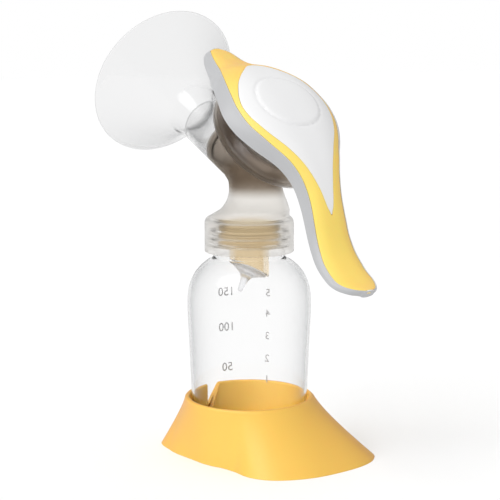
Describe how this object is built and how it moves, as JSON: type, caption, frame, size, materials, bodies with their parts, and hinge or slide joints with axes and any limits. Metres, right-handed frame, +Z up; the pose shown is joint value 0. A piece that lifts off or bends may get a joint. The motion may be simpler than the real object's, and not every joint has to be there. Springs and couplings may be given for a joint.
{
  "type": "manual breast pump",
  "caption": "Hand-operated breast pump: shield, diaphragm connector and swivelling squeeze lever on a collecting bottle that stands in a flared foot.",
  "frame": {"origin": "on the table, on the bottle's axis, at the flat foot of the stand's central boss", "axes": "+Z up; +X towards the lever, -X towards the breast shield; X-Z is the pump's plane of symmetry"},
  "size_m": [0.1869, 0.0883, 0.2178],
  "materials": {
    "stand_plastic": "satin yellow moulded plastic",
    "clear_plastic": "clear polypropylene, faint grey printed scale",
    "frosted_plastic": "frosted translucent polypropylene",
    "valve_plastic": "translucent amber plastic",
    "silicone": "soft translucent silicone",
    "stem_plastic": "grey moulded plastic",
    "handle_grey": "light cool grey moulded plastic, satin",
    "grip_yellow": "soft yellow overmoulding, satin",
    "cap_white": "white moulded plastic, semi-gloss"
  },
  "bodies": {
    "stand": {"bottle_stand": "stand_plastic"},
    "bottle": {"bottle": "clear_plastic"},
    "connector": {"connector": "frosted_plastic", "diaphragm": "silicone"},
    "shield": {"breast_shield": "clear_plastic"},
    "valve": {"valve_head": "valve_plastic", "valve_membrane": "silicone"},
    "stem": {"diaphragm_stem": "stem_plastic", "stem_o_ring": "silicone"},
    "swivel": {"stem_swivel": "stem_plastic", "hinge_pin": "stem_plastic"},
    "handle": {"handle_frame": "handle_grey", "handle_grip": "grip_yellow", "handle_cap": "cap_white"}
  },
  "joints": [
    {"name": "bottle_lift", "type": "slide", "parent": "stand", "child": "bottle", "axis": [0, 0, 1], "range_m": [0, 0.04]},
    {"name": "connector_unscrew", "type": "hinge", "parent": "bottle", "child": "connector", "pos_m": [0, 0, 0.11], "axis": [0, 0, 1], "range_deg": [0, 360]},
    {"name": "shield_pull", "type": "slide", "parent": "connector", "child": "shield", "axis": [-0.9018, 0, 0.4321], "range_m": [0, 0.025]},
    {"name": "valve_pull", "type": "slide", "parent": "connector", "child": "valve", "axis": [0, 0, -1], "range_m": [0, 0.012]},
    {"name": "stem_lift", "type": "slide", "parent": "connector", "child": "stem", "axis": [0.7771, 0, 0.6293], "range_m": [0, 0.0076], "deforming": ["diaphragm"]},
    {"name": "handle_swivel", "type": "hinge", "parent": "stem", "child": "swivel", "pos_m": [0.0272, 0, 0.16603], "axis": [0.7771, 0, 0.6293], "range_deg": [-90, 90]},
    {"name": "handle_squeeze", "type": "hinge", "parent": "swivel", "child": "handle", "pos_m": [0.0272, 0, 0.16603], "axis": [0, 1, 0], "range_deg": [0, 16], "stiffness_Nm_per_rad": 1.2, "springref_deg": -1.72}
  ],
  "couplings": [
    {"joint": "stem_lift", "follows": "handle_squeeze", "m_per_rad": 0.0265}
  ]
}
